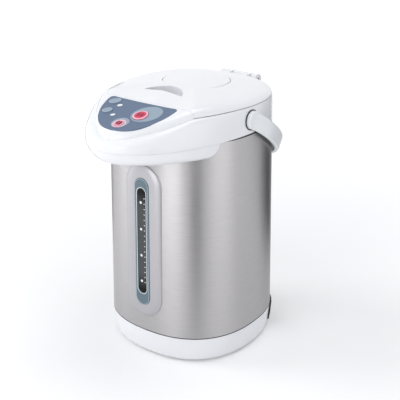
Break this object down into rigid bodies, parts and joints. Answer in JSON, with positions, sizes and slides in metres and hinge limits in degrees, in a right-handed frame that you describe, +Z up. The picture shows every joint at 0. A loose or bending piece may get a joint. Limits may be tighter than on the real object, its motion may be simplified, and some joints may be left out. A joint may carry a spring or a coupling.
{
  "type": "electric thermo pot",
  "caption": "Electric hot-water pot: steel body, water gauge, beaked head with button panel and spout, latched lid with press plate, swinging bail handle.",
  "frame": {"origin": "centre of the foot ring, on the table", "axes": "+Z up, -Y towards the spout and the controls, +X to the right as the panel is faced"},
  "size_m": [0.1884, 0.245, 0.2992],
  "materials": {
    "white_plastic": "glossy moulded",
    "pale_plastic": "satin moulded",
    "brushed_steel": "fine horizontal grain",
    "pot_steel": "satin",
    "plated_steel": "plated",
    "silver_plastic": "silver lacquer",
    "slate_plastic": "satin",
    "slate_pale": "satin",
    "red_plastic": "glossy",
    "black_plastic": "fine texture",
    "clear_plastic": "clear",
    "white_print": "printed",
    "silicone": "soft",
    "rubber_black": "soft",
    "board": "laminate",
    "brass_pins": "bright",
    "motor_steel": "zinc",
    "magnet": "sintered"
  },
  "bodies": {
    "pot": {"base_skirt": "white_plastic", "bottom_cover": "pale_plastic", "foot_ring": "rubber_black", "bottom_screws": "plated_steel", "inlet_panel": "black_plastic", "inlet_pins": "brass_pins", "power_board": "board", "chassis_frame": "pale_plastic", "heater_plate": "magnet", "thermostat": "black_plastic", "liner": "pot_steel", "pump_casing": "pale_plastic", "impeller_pin": "plated_steel", "pump_motor": "motor_steel", "riser_hose": "silicone", "sight_tube": "clear_plastic", "gauge_channel": "black_plastic", "outer_shell": "brushed_steel", "gauge_panel": "silver_plastic", "gauge_bezel": "slate_plastic", "gauge_window": "clear_plastic", "level_marks": "white_print", "upper_housing": "white_plastic", "spout_cover": "white_plastic", "spout_nozzle": "pale_plastic", "outlet_hose": "silicone", "neck_ring": "pale_plastic", "control_panel": "slate_plastic", "button_surrounds": "slate_pale", "indicator_lenses": "white_print", "control_board": "board", "board_screws": "plated_steel", "hinge_bracket": "white_plastic", "hinge_pin": "plated_steel", "hinge_screws": "plated_steel", "pivot_bushes": "black_plastic"},
    "lid": {"lid_shell": "white_plastic", "lid_base": "white_plastic", "lid_gasket": "silicone", "inner_cover": "pot_steel", "lid_screws": "plated_steel", "latch_pin": "plated_steel", "latch_springs": "plated_steel", "hinge_arm": "white_plastic", "bellows": "silicone", "plate_spring": "plated_steel"},
    "latch": {"latch_lever": "white_plastic"},
    "press_plate": {"press_plate": "white_plastic"},
    "dispense": {"dispense_button": "red_plastic"},
    "unlock": {"unlock_button": "red_plastic"},
    "reboil": {"reboil_key": "slate_pale"},
    "timer": {"timer_key": "slate_pale"},
    "handle": {"handle_bail": "white_plastic", "handle_pivots": "plated_steel"},
    "motor_rotor": {"drive_magnet": "magnet"},
    "impeller": {"impeller": "pale_plastic"}
  },
  "joints": [
    {"name": "lid_hinge", "type": "hinge", "parent": "pot", "child": "lid", "pos_m": [0, 0.094, 0.283], "axis": [-1, 0, 0], "range_deg": [0, 95]},
    {"name": "latch_pull", "type": "hinge", "parent": "lid", "child": "latch", "pos_m": [0, -0.062, 0.2892], "axis": [1, 0, 0], "range_deg": [0, 12], "stiffness_Nm_per_rad": 0.03, "springref_deg": -20.05},
    {"name": "plate_press", "type": "slide", "parent": "lid", "child": "press_plate", "axis": [0, 0, -1], "range_m": [0, 0.013], "stiffness_N_per_m": 300, "springref_m": -0.01, "deforming": ["bellows", "plate_spring"]},
    {"name": "dispense_press", "type": "slide", "parent": "pot", "child": "dispense", "axis": [0, 0.2873, -0.9578], "range_m": [0, 0.0008], "stiffness_N_per_m": 1500, "springref_m": -0.0006},
    {"name": "unlock_press", "type": "slide", "parent": "pot", "child": "unlock", "axis": [0, 0.2873, -0.9578], "range_m": [0, 0.0008], "stiffness_N_per_m": 1500, "springref_m": -0.0006},
    {"name": "reboil_press", "type": "slide", "parent": "pot", "child": "reboil", "axis": [0, 0.2873, -0.9578], "range_m": [0, 0.0008], "stiffness_N_per_m": 1500, "springref_m": -0.0006},
    {"name": "timer_press", "type": "slide", "parent": "pot", "child": "timer", "axis": [0, 0.2873, -0.9578], "range_m": [0, 0.0008], "stiffness_N_per_m": 1500, "springref_m": -0.0006},
    {"name": "handle_swing", "type": "hinge", "parent": "pot", "child": "handle", "pos_m": [0, -0.008, 0.271], "axis": [1, 0, 0], "range_deg": [0, 125]},
    {"name": "motor_spin", "type": "hinge", "parent": "pot", "child": "motor_rotor", "pos_m": [0, -0.031, 0.03], "axis": [0, 0, 1], "continuous": true},
    {"name": "impeller_spin", "type": "hinge", "parent": "pot", "child": "impeller", "pos_m": [0, -0.031, 0.043], "axis": [0, 0, 1], "continuous": true}
  ],
  "couplings": [
    {"joint": "impeller_spin", "follows": "motor_spin", "ratio": 1}
  ]
}
